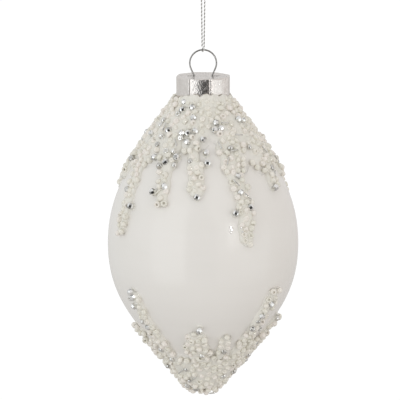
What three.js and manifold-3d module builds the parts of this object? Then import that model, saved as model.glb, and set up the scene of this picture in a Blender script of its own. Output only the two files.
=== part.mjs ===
// A pointed glass bauble with beaded icicle runs, a lobed metal cap, a sprung wire hanger and a
// cord loop. Millimetres, +Z up. The origin is where a hook bears, inside the top of the cord loop,
// so everything hangs below it. The front of the bauble faces -Y.
import * as THREE from "three";
import { mergeVertices } from "three/addons/utils/BufferGeometryUtils.js";
import Module from "manifold-3d";

const GAP = 0.3; // left between pieces that touch

// Cord loop
const CORD_D = 0.65;
const CORD_SIDES = 8;
const CORD_STEPS = 44;
const KNOT = { x: 1.1, z: -8, height: 2.4, radius: 1.3, endRadius: 1.04, straight: 0.3, sides: 10 };
const KNOT_SLACK = 0.05; // more than the gap between the cord and the knot
const HITCH = { thinner: 0.02, sides: 6, steps: 12 }; // its bar is a little thinner than the cord

// Wire hanger: a round eye on two sprung legs
const RING_TOP = -40;
const WIRE_D = 0.65;
const EYE_RADIUS = 5.15; // to the middle of the wire
const EYE_OPEN = 24; // degrees below level where the eye's arc ends
// Each leg's knee, and how far out the wire lies at `span` below it and at `span` above it
const KNEE = { x: 3.53, z: -50.3, span: 1.2, outBelow: 0.12, outAbove: 0.5 };
const LEG_END = { x: 6.2, z: -78 };
const WIRE_STEPS = 50;
const WIRE_SIDES = 8;
const EYE_STEPS = 16;
const CURVE_DIVISIONS = 600; // of a bar's route, to measure its length

// Cap: a pressed metal cup with eight rounded lobes
const CAP = { top: -50, height: 8.6, crest: 10.5, groove: 9.8, lobes: 8, wall: 0.7, plate: 0.8 };
const CAP_TURN = -7.25; // degrees from the front to the middle of the first lobe
const SLOT = { from: 2.85, to: 6.3, halfWidth: 0.63 };
const LOBE_STEPS = 4;

// Glass bauble. `handle` is how far a curve's control point lies from its end, as
// [outwards, upwards], and `above` and `below` are the same straight up and down.
const WALL = 1.2;
const NECK = { radius: 8.2, top: -51.3, foot: -57.6, handle: [0.3, -1.7] };
const SHOULDER = { radius: 11.2, z: -61.6, handle: [14.4, -19.2] };
const BELLY = { radius: 37.05, z: -116, above: 22, below: 23.2 };
const LOWER_CONE = { radius: 6, z: -171.6, handle: [18.5, 22.9] };
const TIP = { z: -173.8, flat: 3.8, wall: 2 };
const GLASS_SIDES = 32;

// Bead crust: its thickness over the glass, and the two bands that cover the glass all round
const CRUST = 2.1;
const COLLAR = { top: -60, foot: -73 };
const COLLAR_LIP = { reach: 1.4, rise: 0.7, thickness: 1.1 }; // over the outside of the cap's foot
const TIP_CRUST = { top: -157.4, foot: -170.1 };
const CRUST_BEVEL = 0.4; // how far the crust's upper face stops short of its edge
const CRUST_SIDES = 28;
const RUN_STEP = 4; // length of one section of a run
const RUN_WIDTH = 5.4;
const RUN_TAPER = 13; // length over which a run changes from the width of its root
const RUN_EDGE = 0.45; // thickness of a run's edges, as a share of the crust
const RUN_TOP = 0.96; // width of a run's upper face, as a share of its foot
const RUN_END = { reach: 0.985, round: 0.94 }; // where a run's blunt end cuts its rounding short

const MIRROR_BEAD_D = 2.8;

const rad = THREE.MathUtils.degToRad;
const v2 = (r, z) => new THREE.Vector2(r, z);
const v3 = (x, y, z) => new THREE.Vector3(x, y, z);

const wasm = await Module();
wasm.setup();

function solidOf(geometry) {
  const plain = geometry.index ? geometry.toNonIndexed() : geometry.clone();
  for (const name of ["normal", "uv"]) plain.deleteAttribute(name);
  const merged = mergeVertices(plain, 1e-4);
  return new wasm.Manifold(
    new wasm.Mesh({
      numProp: 3,
      vertProperties: merged.attributes.position.array,
      triVerts: new Uint32Array(merged.index.array),
    }),
  );
}

function geometryOf(solid) {
  const mesh = solid.getMesh();
  const geometry = new THREE.BufferGeometry();
  geometry.setAttribute("position", new THREE.BufferAttribute(mesh.vertProperties, 3));
  geometry.setIndex(new THREE.BufferAttribute(mesh.triVerts, 1));
  geometry.computeVertexNormals();
  return geometry;
}

// A round bar of the given diameter along a curve
function bar(curve, diameter, steps, sides) {
  const section = new THREE.Shape();
  for (let i = 0; i < sides; i++) {
    const a = (2 * Math.PI * i) / sides;
    const [x, y] = [(diameter / 2) * Math.cos(a), (diameter / 2) * Math.sin(a)];
    if (i === 0) section.moveTo(x, y);
    else section.lineTo(x, y);
  }
  section.closePath();
  return new THREE.ExtrudeGeometry(section, { steps, extrudePath: curve, bevelEnabled: false });
}

// A profile of (radius, height) points turned about Z
function turned(profile, sides) {
  return new THREE.LatheGeometry(profile, sides).rotateX(Math.PI / 2);
}

// The bauble's outline from the neck's mouth to the tip, as (radius, height)
const neckFoot = v2(NECK.radius, NECK.foot);
const shoulder = v2(SHOULDER.radius, SHOULDER.z);
const belly = v2(BELLY.radius, BELLY.z);
const lowerCone = v2(LOWER_CONE.radius, LOWER_CONE.z);
const handleOf = (end, { handle }) => end.clone().add(v2(...handle));
const outline = new THREE.CurvePath();
outline.add(new THREE.LineCurve(v2(NECK.radius, NECK.top), neckFoot));
outline.add(new THREE.QuadraticBezierCurve(neckFoot, handleOf(neckFoot, NECK), shoulder));
outline.add(
  new THREE.CubicBezierCurve(
    shoulder,
    handleOf(shoulder, SHOULDER),
    v2(BELLY.radius, BELLY.z + BELLY.above),
    belly,
  ),
);
outline.add(
  new THREE.CubicBezierCurve(
    belly,
    v2(BELLY.radius, BELLY.z - BELLY.below),
    handleOf(lowerCone, LOWER_CONE),
    lowerCone,
  ),
);
outline.add(new THREE.QuadraticBezierCurve(lowerCone, v2(TIP.flat, TIP.z), v2(0, TIP.z)));
const FINE_OUTLINE = outline.getSpacedPoints(400);

// The glass surface at a height: its radius there, and its outward normal as (radial, up)
function glassAt(z) {
  let i = FINE_OUTLINE.findIndex((p) => p.y <= z);
  i = Math.min(Math.max(i, 1), FINE_OUTLINE.length - 1);
  const [a, b] = [FINE_OUTLINE[i - 1], FINE_OUTLINE[i]];
  const t = THREE.MathUtils.clamp((z - a.y) / (b.y - a.y), 0, 1);
  const along = v2(b.x - a.x, b.y - a.y).normalize();
  return { radius: a.x + t * (b.x - a.x), normal: v2(-along.y, along.x) };
}

// A point over the glass: degrees round from the front, height, and distance off the surface
function overGlass(degrees, z, off) {
  const { radius, normal } = glassAt(z);
  const r = radius + off * normal.x;
  return v3(r * Math.sin(rad(degrees)), -r * Math.cos(rad(degrees)), z + off * normal.y);
}

// Points along the outline between two heights, moved off the surface, as (radius, height)
function offsetOutline(fromZ, toZ, off, pieces) {
  const points = [];
  for (let i = 0; i <= pieces; i++) {
    const z = fromZ + ((toZ - fromZ) * i) / pieces;
    const { radius, normal } = glassAt(z);
    points.push(v2(Math.max(radius + off * normal.x, 0), z + off * normal.y));
  }
  return points;
}

function glassBody() {
  const bore = NECK.radius - WALL;
  const coneFoot = LOWER_CONE.z + TIP.wall;
  const outside = offsetOutline(coneFoot, SHOULDER.z + WALL, 0, 17);
  const inside = offsetOutline(SHOULDER.z + WALL / 2, coneFoot + TIP.wall, -WALL, 12);
  const neckOutside = [v2(NECK.radius, NECK.foot), v2(NECK.radius, NECK.top)];
  const neckInside = [v2(bore, NECK.top), v2(bore, NECK.foot)];
  const tip = [v2(0, TIP.z), v2(TIP.flat - GAP, TIP.z + WALL / 2)];
  const tipInside = v2(0, TIP.z + TIP.wall);
  const profile = [...tip, ...outside, ...neckOutside, ...neckInside, ...inside, tipInside];
  return turned(profile, GLASS_SIDES);
}

// The cap's outline, shrunk by `inset`, as eight arcs that meet in grooves
function lobedOutline(inset) {
  const { crest, groove, lobes } = CAP;
  const half = Math.PI / lobes;
  const centre = (crest ** 2 - groove ** 2) / (2 * (crest - groove * Math.cos(half)));
  const valley = v2(groove * Math.cos(half) - centre, groove * Math.sin(half));
  const sweep = Math.atan2(valley.y, valley.x);
  const points = [];
  for (let lobe = 0; lobe < lobes; lobe++) {
    const turn = 2 * half * lobe + rad(CAP_TURN - 90);
    for (let i = 0; i < LOBE_STEPS; i++) {
      const a = -sweep + (2 * sweep * i) / LOBE_STEPS;
      const radius = crest - centre - inset;
      const at = v2(centre + radius * Math.cos(a), radius * Math.sin(a));
      points.push(at.rotateAround(v2(0, 0), turn));
    }
  }
  return new THREE.Shape(points);
}

function prism(shape, bottom, top) {
  const geometry = new THREE.ExtrudeGeometry(shape, { depth: top - bottom, bevelEnabled: false });
  return solidOf(geometry.translate(0, 0, bottom));
}

function cap() {
  const foot = CAP.top - CAP.height;
  const cup = prism(lobedOutline(0), foot, CAP.top);
  const hollow = prism(lobedOutline(CAP.wall), foot - 1, CAP.top - CAP.plate);
  let solid = cup.subtract(hollow);
  for (const side of [-1, 1]) {
    const slot = new THREE.Shape();
    const [from, to] = side > 0 ? [SLOT.from, SLOT.to] : [-SLOT.to, -SLOT.from];
    slot.moveTo(from, -SLOT.halfWidth);
    slot.lineTo(to, -SLOT.halfWidth);
    slot.lineTo(to, SLOT.halfWidth);
    slot.lineTo(from, SLOT.halfWidth);
    solid = solid.subtract(prism(slot, CAP.top - CAP.plate - 1, CAP.top + 1));
  }
  return geometryOf(solid);
}

function hangerWire() {
  const eyeZ = RING_TOP - WIRE_D / 2 - EYE_RADIUS;
  const points = [];
  const leg = (side) => [
    v3(side * LEG_END.x, 0, LEG_END.z),
    v3((side * (2 * LEG_END.x + KNEE.x)) / 3, 0, (2 * LEG_END.z + KNEE.z) / 3),
    v3((side * (LEG_END.x + 2 * KNEE.x)) / 3, 0, (LEG_END.z + 2 * KNEE.z) / 3),
    v3(side * (KNEE.x + KNEE.outBelow), 0, KNEE.z - KNEE.span),
    v3(side * KNEE.x, 0, KNEE.z),
    v3(side * (KNEE.x + KNEE.outAbove), 0, KNEE.z + KNEE.span),
  ];
  points.push(...leg(-1));
  for (let i = 0; i <= EYE_STEPS; i++) {
    const a = rad(180 + EYE_OPEN - ((180 + 2 * EYE_OPEN) * i) / EYE_STEPS);
    points.push(v3(EYE_RADIUS * Math.cos(a), 0, eyeZ + EYE_RADIUS * Math.sin(a)));
  }
  points.push(...leg(1).reverse());
  const curve = new THREE.CatmullRomCurve3(points);
  curve.arcLengthDivisions = CURVE_DIVISIONS;
  return bar(curve, WIRE_D, WIRE_STEPS, WIRE_SIDES);
}

// One side of the cord loop, from the hitch up to the top of the loop
const CORD_SIDE = [
  [0.38, -38.8], [0.4, -37.4], [0.44, -35], [0.48, -32], [0.53, -28.5], [0.58, -24.5],
  [0.65, -20], [0.78, -15], [0.98, -10], [1.25, -6], [1.48, -3.2], [1.55, -1.5], [1.15, -0.2],
];

function cordLoop() {
  const left = CORD_SIDE.map(([x, z]) => v3(-x, 0, z));
  const right = CORD_SIDE.map(([x, z]) => v3(x, 0, z)).reverse();
  const curve = new THREE.CatmullRomCurve3([...left, v3(0, 0, CORD_D / 2), ...right]);
  curve.arcLengthDivisions = CURVE_DIVISIONS;
  return bar(curve, CORD_D, CORD_STEPS, CORD_SIDES);
}

function cordKnot() {
  const { x, z, height, radius, endRadius, straight, sides } = KNOT;
  const [inner, half] = [CORD_D / 2 + GAP + KNOT_SLACK, height / 2];
  const profile = [
    v2(inner, -half), v2(endRadius, -half), v2(radius, -half * straight),
    v2(radius, half * straight), v2(endRadius, half), v2(inner, half), v2(inner, -half),
  ];
  return turned(profile, sides).translate(x, 0, z);
}

// The bight of the cord round the wire at the top of the eye
function cordHitch() {
  const major = (WIRE_D + CORD_D) / 2 + GAP;
  const minor = CORD_D / 2 - HITCH.thinner;
  const ring = new THREE.TorusGeometry(major, minor, HITCH.sides, HITCH.steps);
  return ring.rotateY(Math.PI / 2).translate(0, 0, RING_TOP - WIRE_D / 2);
}

// The crust that rings the top of the cone and laps outside the foot of the cap
function beadCollar() {
  const inner = offsetOutline(COLLAR.top, COLLAR.foot, GAP, 5);
  const outer = offsetOutline(COLLAR.foot - CRUST_BEVEL, COLLAR.top - 1, GAP + CRUST, 4);
  const skirt = CAP.crest + CRUST_BEVEL;
  const foot = CAP.top - CAP.height;
  const { reach, rise, thickness } = COLLAR_LIP;
  const lip = [
    v2(skirt + thickness + GAP * 2, foot), v2(skirt + thickness, foot + rise),
    v2(skirt + GAP / 2, foot + rise - GAP / 2), v2(skirt, foot + rise - reach + GAP),
  ];
  const profile = [...inner, ...outer, ...lip];
  return turned([...profile, profile[0]], CRUST_SIDES);
}

// The crust that covers the pointed end
function tipCrust() {
  const { top, foot } = TIP_CRUST;
  const inner = offsetOutline(top, foot, GAP, 5);
  const outer = offsetOutline(foot, top + CRUST_BEVEL, GAP + CRUST, 5);
  const point = [v2(TIP.flat - 2 * GAP, TIP.z + 0.1), v2(0, TIP.z - GAP)];
  const underside = [v2(0, TIP.z - CRUST), v2(TIP.flat + CRUST_BEVEL, TIP.z - 1)];
  const profile = [...underside, ...outer, ...inner, ...point];
  return turned(profile, CRUST_SIDES);
}

// A run of beads down or up the glass. `turns` are degrees round from the front at even steps of
// height between `from` and `to`. It changes from `root` to `width`, and its far end is rounded.
function beadRun({ from, to, turns, width = RUN_WIDTH, root = width }) {
  const middle = new THREE.CatmullRomCurve3(
    turns.map((turn, i) => v3(turn, from + ((to - from) * i) / (turns.length - 1), 0)),
  );
  const length = Math.abs(to - from);
  const steps = Math.max(3, Math.round(length / RUN_STEP)) + 1;
  const nearEnd = RUN_END.reach * length;
  const across = [-1, -0.4, 0.4, 1];
  const rings = [];
  for (let i = 0; i <= steps; i++) {
    const reach = Math.min((length * i) / steps, nearEnd);
    const { x: turn, y: z } = middle.getPoint(reach / length);
    const intoEnd = THREE.MathUtils.clamp(1 - (length - reach) / (width / 2), 0, RUN_END.round);
    const taper = THREE.MathUtils.smoothstep(reach, 0, Math.min(RUN_TAPER, length));
    const half = ((root + (width - root) * taper) / 2) * Math.sqrt(1 - intoEnd ** 2);
    const degreesPerMm = 180 / Math.PI / glassAt(z).radius;
    const under = across.map((u) => overGlass(turn + u * half * degreesPerMm, z, GAP));
    const over = across.map((u) => {
      const height = GAP + CRUST * (RUN_EDGE + (1 - RUN_EDGE) * Math.sqrt(1 - u * u));
      return overGlass(turn + u * half * RUN_TOP * degreesPerMm, z, height);
    });
    rings.push([...under, ...over.reverse()]);
  }
  return loft(rings, to < from);
}

// Joins a row of equal closed rings of points into one solid with flat ends
function loft(rings, forwards) {
  const count = rings[0].length;
  const positions = rings.flat().flatMap((p) => [p.x, p.y, p.z]);
  const faces = [];
  const face = (a, b, c) => faces.push(...(forwards ? [a, b, c] : [a, c, b]));
  for (let i = 0; i + 1 < rings.length; i++)
    for (let j = 0; j < count; j++) {
      const [a, b] = [i * count + j, i * count + ((j + 1) % count)];
      face(a, b, a + count);
      face(b, b + count, a + count);
    }
  const last = (rings.length - 1) * count;
  const half = count / 2;
  // Each end is a strip between its lower row and its upper row, which runs the other way.
  for (let j = 0; j + 1 < half; j++) {
    const [low, lowNext, high, highNext] = [j, j + 1, count - 1 - j, count - 2 - j];
    face(low, high, lowNext);
    face(lowNext, high, highNext);
    face(last + low, last + lowNext, last + high);
    face(last + lowNext, last + highNext, last + high);
  }
  const geometry = new THREE.BufferGeometry();
  geometry.setAttribute("position", new THREE.Float32BufferAttribute(positions, 3));
  geometry.setIndex(faces);
  geometry.computeVertexNormals();
  return geometry;
}

// Runs down from the collar, round the bauble from the front towards +X. `to` is the lower end.
const UPPER_RUNS = [
  { to: -93.7, turns: [-11, -9, -6, -5, -4.5], width: 7, root: 4 },
  { to: -112, turns: [27.5, 23.7, 26.5, 28, 26.8, 27], width: 6.8, root: 11 },
  { to: -92.5, turns: [61.5, 66.5, 62, 56], width: 6, root: 10.5 },
  { to: -89.5, turns: [86.5, 87], root: 6.5 },
  { to: -99, turns: [108.5, 110, 112], root: 9.5 },
  { to: -85, turns: [131, 130], root: 6 },
  { to: -105, turns: [152, 156, 158], width: 6, root: 9 },
  { to: -90, turns: [178, 179], root: 9 },
  { to: -109, turns: [-156, -158, -161], width: 6.2, root: 9 },
  { to: -86, turns: [-133, -132], root: 6.5 },
  { to: -97, turns: [-111, -110, -108], root: 8 },
  { to: -91, turns: [-87, -85], root: 8 },
  { to: -110, turns: [-62, -61.5, -58, -57.5, -58], width: 5.8, root: 9 },
  { to: -97.5, turns: [-34.5, -32, -29, -28.6], width: 5.6, root: 10 },
];

// Runs up from the crust at the point. `to` is the upper end.
const LOWER_RUNS = [
  { to: -145, turns: [-6, -6], width: 9.5 },
  { to: -147, turns: [20, 21], width: 7, root: 4.2 },
  { to: -128.5, turns: [42, 44, 47, 52], width: 6, root: 7 },
  { to: -142, turns: [80, 78], width: 6, root: 7 },
  { to: -137, turns: [112, 110], root: 7 },
  { to: -147, turns: [143, 143], width: 8 },
  { to: -133, turns: [176, 179], root: 7 },
  { to: -146, turns: [-150, -150], width: 6 },
  { to: -138, turns: [-117, -115], root: 7 },
  { to: -146, turns: [-81, -78], width: 7 },
  { to: -129.5, turns: [-44, -45, -47, -49], width: 5.8, root: 7 },
];

// Mirror beads glued singly in and beside the runs: degrees from the front, and height
const MIRROR_BEADS = [
  [-4, -92.9], [3.4, -81.1], [2.8, -77.4], [20.1, -98.9], [30.7, -97.2], [26.1, -86],
  [25.6, -91.6], [56.9, -91.7], [-23.5, -79.3], [-27.4, -89.7], [-32.3, -81.3], [-35.6, -92],
  [-45.4, -80.1], [-51.6, -98.1], [-49.8, -130.5], [-2.8, -143.8],
  [118.5, -95], [146, -101], [-152, -96], [168, -137], [-112, -141],
];

const finish = (color, roughness, metalness) => ({ color, roughness, metalness });
const WHITE_GLASS = finish(0xdcd9d4, 0.12, 0);
const BEAD_GLASS = finish(0xd9d6c9, 0.3, 0);
const MIRROR = finish(0xc8c8c6, 0.08, 1);
const CHROME = finish(0xc9c5c1, 0.18, 1);
const STEEL = finish(0x8e8d8b, 0.3, 1);
const SILVER_CORD = finish(0xb5b3ae, 0.45, 0.4);

const ornament = new THREE.Group();

function add(name, geometry, look) {
  const mesh = new THREE.Mesh(geometry, new THREE.MeshStandardMaterial(look));
  mesh.name = name;
  ornament.add(mesh);
  return mesh;
}

const numbered = (name, i) => `${name}_${String(i + 1).padStart(2, "0")}`;

add("cord_loop", cordLoop(), SILVER_CORD);
add("cord_knot", cordKnot(), SILVER_CORD);
add("cord_hitch", cordHitch(), SILVER_CORD);
add("hanger_wire", hangerWire(), STEEL);
add("cap", cap(), CHROME);
add("glass_body", glassBody(), WHITE_GLASS);
add("bead_collar", beadCollar(), BEAD_GLASS);
add("tip_bead_crust", tipCrust(), BEAD_GLASS);

const ball = (radius) => new THREE.SphereGeometry(radius, 8, 6);
const beadCentres = MIRROR_BEADS.map(([turn, z]) => overGlass(turn, z, GAP + MIRROR_BEAD_D / 2));

// A run, with room left in it for each mirror bead that lies in its way
function notchedRun(run) {
  const whole = solidOf(beadRun(run));
  const rooms = beadCentres.map(({ x, y, z }) =>
    solidOf(ball(MIRROR_BEAD_D / 2 + GAP)).translate([x, y, z]),
  );
  return geometryOf(rooms.reduce((solid, room) => solid.subtract(room), whole));
}

const collarEdge = COLLAR.foot - CRUST_BEVEL - 2 * GAP;
UPPER_RUNS.forEach((run, i) => {
  add(numbered("upper_icicle", i), notchedRun({ from: collarEdge, ...run }), BEAD_GLASS);
});
const tipCrustEdge = TIP_CRUST.top + CRUST_BEVEL + 2 * GAP;
LOWER_RUNS.forEach((run, i) => {
  add(numbered("lower_icicle", i), notchedRun({ from: tipCrustEdge, ...run }), BEAD_GLASS);
});
beadCentres.forEach((centre, i) => {
  add(numbered("mirror_bead", i), ball(MIRROR_BEAD_D / 2), MIRROR).position.copy(centre);
});

export default ornament;
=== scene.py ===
"""Looks of a pointed white glass bauble with beaded icicle runs, a lobed silver cap, a sprung wire
hanger and a two-ply cord loop. Shapes are worked out in millimetres and stored in metres."""

import math

import bpy
import numpy as np
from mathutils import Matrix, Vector


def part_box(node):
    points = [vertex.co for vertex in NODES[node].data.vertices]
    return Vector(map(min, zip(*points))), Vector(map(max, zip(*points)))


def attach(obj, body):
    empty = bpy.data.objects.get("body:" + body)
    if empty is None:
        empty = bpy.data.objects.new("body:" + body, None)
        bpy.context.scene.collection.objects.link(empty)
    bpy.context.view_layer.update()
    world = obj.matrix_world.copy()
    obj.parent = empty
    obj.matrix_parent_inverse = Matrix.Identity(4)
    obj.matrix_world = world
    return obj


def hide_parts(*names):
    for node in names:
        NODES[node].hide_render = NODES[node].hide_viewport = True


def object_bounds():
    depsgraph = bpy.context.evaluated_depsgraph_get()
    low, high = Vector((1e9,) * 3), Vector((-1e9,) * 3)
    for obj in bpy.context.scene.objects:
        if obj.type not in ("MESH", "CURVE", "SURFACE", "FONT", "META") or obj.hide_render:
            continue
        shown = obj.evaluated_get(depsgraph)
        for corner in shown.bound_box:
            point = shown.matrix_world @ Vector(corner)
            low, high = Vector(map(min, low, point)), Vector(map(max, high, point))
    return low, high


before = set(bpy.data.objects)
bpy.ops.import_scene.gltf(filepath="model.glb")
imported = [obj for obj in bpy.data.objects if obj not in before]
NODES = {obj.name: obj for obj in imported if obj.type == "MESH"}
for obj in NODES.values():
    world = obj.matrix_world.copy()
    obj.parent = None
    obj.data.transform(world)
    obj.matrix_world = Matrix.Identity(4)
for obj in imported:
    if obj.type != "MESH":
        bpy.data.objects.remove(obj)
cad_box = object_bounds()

MM = 0.001
ROOT_BODY, BIGHT_BODY, HANGER_BODY, CAP_BODY, BAUBLE_BODY = (
    "hanging_loop", "cord_bight", "wire_hanger", "cap", "bauble",
)


def box_mm(node):
    """Lowest and highest corners of a CAD node, in millimetres."""
    low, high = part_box(node)
    return np.array(low) / MM, np.array(high) / MM


def cad_points(node):
    """The corners of a CAD node's mesh, in millimetres."""
    mesh = NODES[node].data
    co = np.zeros(len(mesh.vertices) * 3, np.float32)
    mesh.vertices.foreach_get("co", co)
    return co.reshape(-1, 3).astype(float) / MM


# ---------------------------------------------------------------- camera

CAMERA_DISTANCE = 1.4
CAMERA_ELEVATION = math.radians(9.8)
FRAME_WIDTH = 0.1553  # what the picture spans at the bauble
SENSOR = 36.0
AIM = Vector((-0.0012, 0.0, -0.0991))


def make_camera():
    data = bpy.data.cameras.new("camera")
    data.sensor_width = SENSOR
    data.lens = SENSOR * CAMERA_DISTANCE / FRAME_WIDTH
    data.clip_start, data.clip_end = 0.05, 50
    camera = bpy.data.objects.new("camera", data)
    bpy.context.scene.collection.objects.link(camera)
    back = Vector((0, -math.cos(CAMERA_ELEVATION), math.sin(CAMERA_ELEVATION)))
    camera.location = AIM + back * CAMERA_DISTANCE
    camera.rotation_euler = back.to_track_quat("Z", "Y").to_euler()
    bpy.context.scene.camera = camera


make_camera()

# ---------------------------------------------------------------- mesh tools


def new_piece(name, verts, faces, smooth=True, material_index=None, tint=None):
    """A mesh object from points in millimetres and faces given as lists of corner numbers."""
    mesh = bpy.data.meshes.new(name)
    verts = np.asarray(verts, float) * MM
    faces = [np.asarray(f, np.int32) for f in faces if len(f)]
    counts = np.concatenate([np.full(len(f), f.shape[1], np.int32) for f in faces])
    corners = np.concatenate([f.ravel() for f in faces])
    mesh.vertices.add(len(verts))
    mesh.vertices.foreach_set("co", verts.astype(np.float32).ravel())
    mesh.loops.add(len(corners))
    mesh.loops.foreach_set("vertex_index", corners)
    mesh.polygons.add(len(counts))
    starts = np.concatenate([[0], np.cumsum(counts)[:-1]]).astype(np.int32)
    mesh.polygons.foreach_set("loop_start", starts)
    mesh.polygons.foreach_set("loop_total", counts)
    flags = np.full(len(counts), smooth) if np.isscalar(smooth) else np.asarray(smooth)
    mesh.polygons.foreach_set("use_smooth", flags)
    if material_index is not None:
        mesh.polygons.foreach_set("material_index", np.asarray(material_index, np.int32))
    mesh.update(calc_edges=True)
    if tint is not None:
        layer = mesh.attributes.new("tint", "FLOAT", "POINT")
        layer.data.foreach_set("value", np.asarray(tint, np.float32))
    mesh.validate()
    piece = bpy.data.objects.new(name, mesh)
    bpy.context.scene.collection.objects.link(piece)
    return piece


def finish_piece(piece, body, nodes, materials):
    for material in materials:
        piece.data.materials.append(material)
    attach(piece, body)
    if nodes:
        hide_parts(*nodes)
    return piece


def grid_faces(rows, columns, wrap_rows=False, wrap_columns=False):
    """Quads of a grid of points stored row by row, with either direction closed on itself."""
    i = np.arange(rows if wrap_rows else rows - 1)
    j = np.arange(columns if wrap_columns else columns - 1)
    i, j = np.meshgrid(i, j, indexing="ij")
    i, j = i.ravel(), j.ravel()
    i2, j2 = (i + 1) % rows, (j + 1) % columns
    return np.stack([i * columns + j, i * columns + j2, i2 * columns + j2, i2 * columns + j], 1)


def smooth_route(points, count):
    """`count` points evenly spaced along a smooth curve through the given ones."""
    p = np.asarray(points, float)
    p = np.vstack([2 * p[0] - p[1], p, 2 * p[-1] - p[-2]])
    out = []
    for a, b, c, d in zip(p, p[1:], p[2:], p[3:]):
        t = np.linspace(0, 1, 24, endpoint=False)[:, None]
        square, cube = 2 * a - 5 * b + 4 * c - d, 3 * b - a - 3 * c + d
        out.append(0.5 * (2 * b + (c - a) * t + square * t**2 + cube * t**3))
    fine = np.vstack([*out, p[-2][None]])
    return evenly(fine, count)


def evenly(fine, count):
    """The same line as `count` points at even distances."""
    run = np.concatenate([[0], np.cumsum(np.linalg.norm(np.diff(fine, axis=0), axis=1))])
    at = np.linspace(0, run[-1], count)
    return np.stack([np.interp(at, run, fine[:, k]) for k in range(3)], 1)


def route_length(points):
    return float(np.linalg.norm(np.diff(points, axis=0), axis=1).sum())


def frames_along(points, first, closed=False):
    """Two directions across a line at each of its points, carried along without twisting."""
    ahead = np.roll(points, -1, 0) - np.roll(points, 1, 0)
    if not closed:
        ahead[0], ahead[-1] = points[1] - points[0], points[-1] - points[-2]
    ahead /= np.linalg.norm(ahead, axis=1)[:, None]
    side = np.asarray(first, float)
    sides = []
    for direction in ahead:
        side = side - direction * (side @ direction)
        side /= np.linalg.norm(side)
        sides.append(side)
    sides = np.array(sides)
    return sides, np.cross(ahead, sides)


def tube(points, radius, sides, first=(0, 1, 0), closed=False):
    """A round tube along a line, as points, quads and the flat faces that close its ends."""
    u, v = frames_along(points, first, closed)
    a = np.linspace(0, 2 * np.pi, sides, endpoint=False)
    radius = np.broadcast_to(np.asarray(radius, float), (len(points),))
    ring = u[:, None] * np.cos(a)[None, :, None] + v[:, None] * np.sin(a)[None, :, None]
    verts = (points[:, None] + ring * radius[:, None, None]).reshape(-1, 3)
    quads = grid_faces(len(points), sides, wrap_rows=closed, wrap_columns=True)
    if closed:
        return verts, quads, np.zeros((0, sides), int)
    last = (len(points) - 1) * sides
    ends = np.array([np.arange(sides)[::-1], last + np.arange(sides)])
    return verts, quads, ends


def join_parts(parts):
    """One set of points and faces from several (points, quads, ends)."""
    verts, quads, ends, base = [], [], [], 0
    for v, q, e in parts:
        verts.append(v)
        quads.append(q + base)
        if len(e):
            ends.append(e + base)
        base += len(v)
    return np.vstack(verts), [np.vstack(quads), *ends]


def two_ply(points, ply_radius, offset, pitch, sides, closed=False):
    """Two plies twisted round each other along a line, and how far out each point lies from 0 to
    1. On a closed line the turns are whole."""
    length = route_length(points)
    turns = length / pitch
    if closed:
        length += float(np.linalg.norm(points[0] - points[-1]))
        turns = round(length / pitch)
    u, v = frames_along(points, (0.3, 1, 0.1), closed)
    share = np.arange(len(points)) / (len(points) if closed else len(points) - 1)
    parts, reach = [], []
    for start in (0, math.pi):
        angle = (2 * np.pi * turns * share + start)[:, None]
        line = points + offset * (u * np.cos(angle) + v * np.sin(angle))
        ply = tube(line, ply_radius, sides, (0, 1, 0.2), closed)
        away = ply[0].reshape(len(points), sides, 3) - points[:, None]
        reach.append(np.linalg.norm(away, axis=2).ravel() / (offset + ply_radius))
        parts.append(ply)
    return *join_parts(parts), np.concatenate(reach)


def turned(profile, sides):
    """A profile of (radius, height) points turned about Z, as points and quads."""
    profile = np.asarray(profile, float)
    a = np.linspace(0, 2 * np.pi, sides, endpoint=False)
    x = profile[:, 0][:, None] * np.cos(a)
    y = profile[:, 0][:, None] * np.sin(a)
    z = np.repeat(profile[:, 1][:, None], sides, 1)
    return np.stack([x, y, z], 2).reshape(-1, 3), grid_faces(len(profile), sides, False, True)


# ---------------------------------------------------------------- material tools

COAT_ROUGHNESS = 0.05
NOISE_SPREAD = (0.3, 0.7)  # where nearly all of a noise's values lie


def material(name, colour, roughness=0.5, metallic=0.0, coat=0.0):
    m = bpy.data.materials.new(name)
    m.use_nodes = True
    shader = m.node_tree.nodes["Principled BSDF"]
    shader.inputs["Base Color"].default_value = (*colour, 1)
    shader.inputs["Roughness"].default_value = roughness
    shader.inputs["Metallic"].default_value = metallic
    if coat:
        shader.inputs["Coat Weight"].default_value = coat
        shader.inputs["Coat Roughness"].default_value = COAT_ROUGHNESS
    return m


def node(m, kind, **values):
    n = m.node_tree.nodes.new("ShaderNode" + kind)
    for key, value in values.items():
        if key in n.inputs:
            n.inputs[key].default_value = value
        else:
            setattr(n, key, value)
    return n


def link(m, source, target):
    m.node_tree.links.new(source, target)


def shader_of(m):
    return m.node_tree.nodes["Principled BSDF"]


def place(m, scale=(1, 1, 1)):
    """The object's own coordinates in millimetres, stretched by scale."""
    where = node(m, "TexCoord")
    mapping = node(m, "Mapping")
    mapping.inputs["Scale"].default_value = [s / MM for s in scale]
    link(m, where.outputs["Object"], mapping.inputs["Vector"])
    return mapping.outputs["Vector"]


def noise(m, vector, scale, detail=2.0, rough=0.5):
    n = node(m, "TexNoise", Scale=scale, Detail=detail, Roughness=rough)
    link(m, vector, n.inputs["Vector"])
    return n.outputs["Fac"]


def colour_by(m, source, stops):
    """The base colour, from a value and (value, colour) stops."""
    link(m, ramp(m, source, stops), shader_of(m).inputs["Base Color"])


def clouded(m, source, low, high):
    """The base colour, drifting between two with a noise."""
    colour_by(m, source, list(zip(NOISE_SPREAD, (low, high))))


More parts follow.
